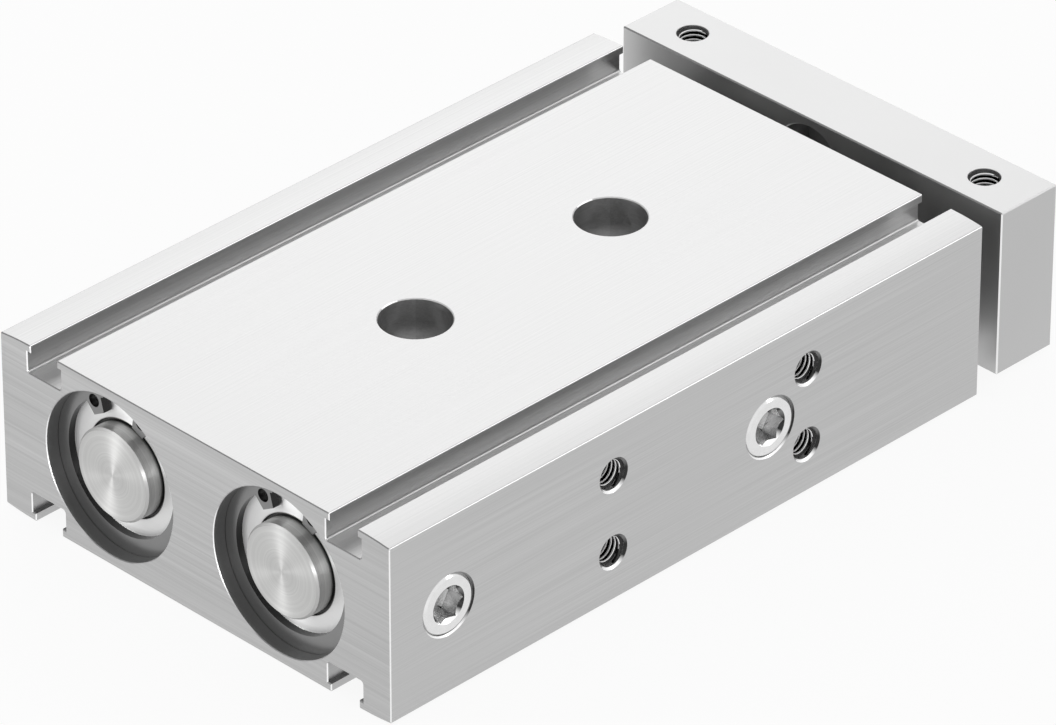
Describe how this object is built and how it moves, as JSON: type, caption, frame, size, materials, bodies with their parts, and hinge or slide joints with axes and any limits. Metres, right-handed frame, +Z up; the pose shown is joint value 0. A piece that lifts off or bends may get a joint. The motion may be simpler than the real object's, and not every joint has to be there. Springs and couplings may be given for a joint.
{
  "type": "double piston cylinder",
  "caption": "Flat pneumatic cylinder with two parallel bores and rods that push one yoke plate without turning; T-slotted body with side ports.",
  "frame": {"origin": "middle of the body's underside", "axes": "+X across the width towards the plugged side, +Y along the stroke towards the yoke plate, +Z up"},
  "size_m": [0.08, 0.1385, 0.03],
  "materials": {
    "anodised_body": "clear anodised over brushed extrusion",
    "anodised_yoke": "clear anodised, fine matt",
    "turned_aluminium": "fine turned",
    "piston_aluminium": "turned",
    "spring_steel": "blanked spring steel, oiled",
    "plug_steel": "zinc plated",
    "screw_steel": "zinc plated",
    "hard_chrome": "ground and hard chromed",
    "bearing_bronze": "sintered bronze",
    "black_rubber": "moulded, satin",
    "seal_elastomer": "moulded, satin",
    "bumper_elastomer": "moulded, matt",
    "bonded_magnet": "plastic bonded ferrite",
    "wear_ring_plastic": "acetal, matt"
  },
  "bodies": {
    "cylinder": {"body": "anodised_body", "port_plug_rear": "plug_steel", "port_plug_front": "plug_steel", "rear_cap_left": "turned_aluminium", "rear_cap_right": "turned_aluminium", "rear_cap_seal_left": "black_rubber", "rear_cap_seal_right": "black_rubber", "rear_ring_left": "spring_steel", "rear_ring_right": "spring_steel", "rear_bumper_left": "bumper_elastomer", "rear_bumper_right": "bumper_elastomer", "front_gland_left": "turned_aluminium", "front_gland_right": "turned_aluminium", "gland_seal_left": "black_rubber", "gland_seal_right": "black_rubber", "rod_bush_left": "bearing_bronze", "rod_bush_right": "bearing_bronze", "rod_seal_left": "seal_elastomer", "rod_seal_right": "seal_elastomer", "rod_wiper_left": "seal_elastomer", "rod_wiper_right": "seal_elastomer", "front_bumper_left": "bumper_elastomer", "front_bumper_right": "bumper_elastomer", "front_ring_left": "spring_steel", "front_ring_right": "spring_steel"},
    "slider": {"yoke_plate": "anodised_yoke", "piston_rod_left": "hard_chrome", "piston_rod_right": "hard_chrome", "piston_left": "piston_aluminium", "piston_right": "piston_aluminium", "piston_seal_left": "seal_elastomer", "piston_seal_right": "seal_elastomer", "piston_magnet_left": "bonded_magnet", "piston_magnet_right": "bonded_magnet", "wear_ring_left": "wear_ring_plastic", "wear_ring_right": "wear_ring_plastic", "piston_screw_left": "screw_steel", "piston_screw_right": "screw_steel", "yoke_screw_left": "screw_steel", "yoke_screw_right": "screw_steel"}
  },
  "joints": [
    {"name": "stroke", "type": "slide", "parent": "cylinder", "child": "slider", "axis": [0, 1, 0], "range_m": [0, 0.05]}
  ]
}
